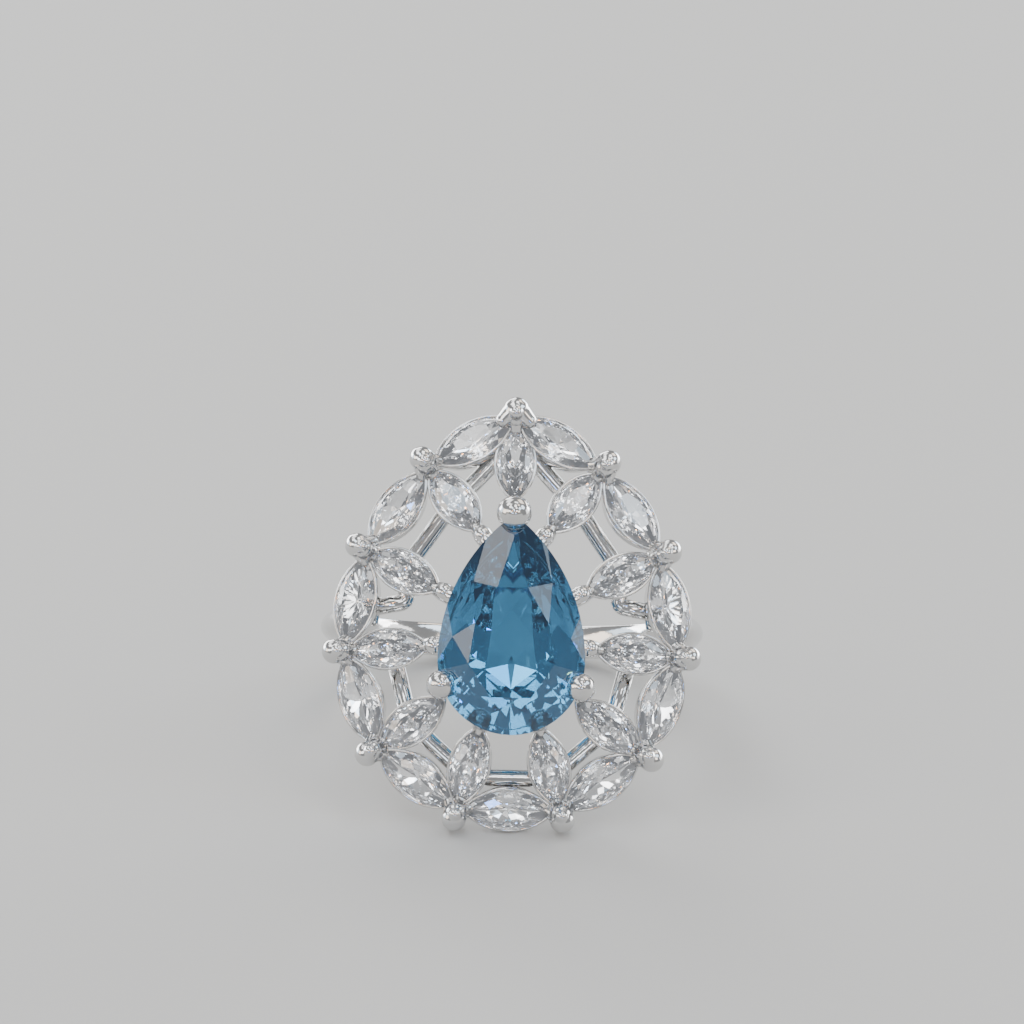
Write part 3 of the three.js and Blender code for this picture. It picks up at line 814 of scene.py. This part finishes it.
def band():
    """The band and its shoulders: domed outside, gently rounded inside, slimmer at the tops."""
    points, slim = band_curve()
    tangents = np.gradient(points, axis=0)
    tangents /= np.linalg.norm(tangents, axis=1)[:, None]
    rings = []
    for point, tangent, share in zip(points, tangents, slim):
        out = np.array([tangent[1], -tangent[0]])
        width = BAND_WIDTH - SHOULDER_NARROWING * share
        thickness = BAND_THICKNESS - SHOULDER_THINNING * share
        section = []
        for j in range(SECTION_STEPS):
            angle = 2 * math.pi * j / SECTION_STEPS
            rise = math.sin(angle)
            if rise >= 0:
                depth = BAND_EDGE + (thickness - BAND_EDGE) * rise
            else:
                depth = BAND_EDGE * (1 - (-rise) ** 0.5)
            section.append([*(point + out * depth), width / 2 * math.cos(angle)])
        rings.append(section)
    return skin(rings)


# ------------------------------------------------------------------ stones

# Each cut as rings of facet corners: scale of the outline, level, how many, and the turn in steps.
MARQUISE_RINGS = [
    (0.54, 0.38, 8, 0.5), (0.79, 0.235, 16, 0.5), (0.90, 0.125, 16, 0), (0.995, 0.0, 48, 0),
    (0.995, -0.07, 48, 0), (0.76, -0.32, 16, 0), (0.50, -0.57, 16, 0.5), (0.26, -0.77, 8, 0),
    (0.05, -0.92, 4, 0.5),
]
PEAR_RINGS = [
    (0.58, 1.36, 8, 0.5), (0.82, 0.74, 8, 0), (0.995, 0.0, 60, 0), (0.995, -0.22, 60, 0),
    (0.66, -1.70, 8, 0.5), (0.36, -2.80, 6, 0.0), (0.05, -3.45, 3, 0),
]
PEAR_HALF_WIDTH = 4
PEAR_RISE = 8
SAME_FACET = 0.002  # radians between faces that are one facet


def faceted(outline, rings):
    """A cut stone: the convex body over its facets' corners."""
    mesh = bmesh.new()
    for scale, level, count, turn in rings:
        for i in range(count):
            x, y = outline((i + turn) / count % 1) * scale
            mesh.verts.new((x, y, level))
    bmesh.ops.convex_hull(mesh, input=mesh.verts)
    loose = [v for v in mesh.verts if not v.link_faces]
    bmesh.ops.delete(mesh, geom=loose, context="VERTS")
    bmesh.ops.dissolve_limit(mesh, angle_limit=SAME_FACET, verts=mesh.verts, edges=mesh.edges)
    mesh.verts.index_update()
    points = np.array([v.co for v in mesh.verts])
    faces = [tuple(v.index for v in face.verts) for face in mesh.faces]
    mesh.free()
    return points, faces


def marquise_stone(place):
    matrix, half_length, half_width = place
    points, faces = faceted(
        lambda share: marquise_point(half_length, half_width, share), MARQUISE_RINGS)
    return placed(matrix, points), faces


def pear_stone():
    points, faces = faceted(
        lambda share: pear_point(PEAR_HALF_WIDTH, PEAR_RISE, share), PEAR_RINGS)
    x, y, z = points.T
    return np.column_stack([x, -(z + PEAR_LEVEL), y - PEAR_DROP - HEAD_DROP]), faces


def add_stone(name, shape, material, slot, node):
    piece = add_piece(name, shape, material, slot, node)
    piece.data.shade_flat()


# ------------------------------------------------------------------ pieces

add_piece("band", band(), SILVER, "silver", "shank", "shoulder_left", "shoulder_right")
add_piece("rim", halo_rim(), SILVER, "silver", "halo_rim")
add_piece("basket", pear_basket(), SILVER, "silver", "pear_basket")
add_piece("gallery_upper", gallery_wire(GALLERY_UPPER), SILVER, "silver", "gallery_wire_upper")
add_piece("gallery_lower", gallery_wire(GALLERY_LOWER), SILVER, "silver", "gallery_wire_lower")
for name, measures in PEAR_CLAWS.items():
    add_piece(f"centre_claw_{name}", pear_claw(*measures), SILVER, "silver", f"pear_claw_{name}")
NUMBERS = [f"{k + 1:02d}" for k in range(RAYS)]
for k, n in enumerate(NUMBERS):
    add_piece(f"rim_claw_{n}", halo_claw(k), SILVER, "silver", f"halo_claw_{n}")
    add_piece(f"spoke_{n}", spoke_setting(k), SILVER, "silver", f"spoke_setting_{n}")

for k, n in enumerate(NUMBERS):
    outer, inner = marquise_stone(HALO[k]), marquise_stone(SPOKES[k])
    add_stone(f"rim_stone_{n}", outer, ZIRCONIA, "zirconia", f"halo_stone_{n}")
    add_stone(f"inner_stone_{n}", inner, ZIRCONIA, "zirconia", f"spoke_stone_{n}")
add_stone("centre_stone", pear_stone(), TOPAZ, "topaz", "pear_stone")
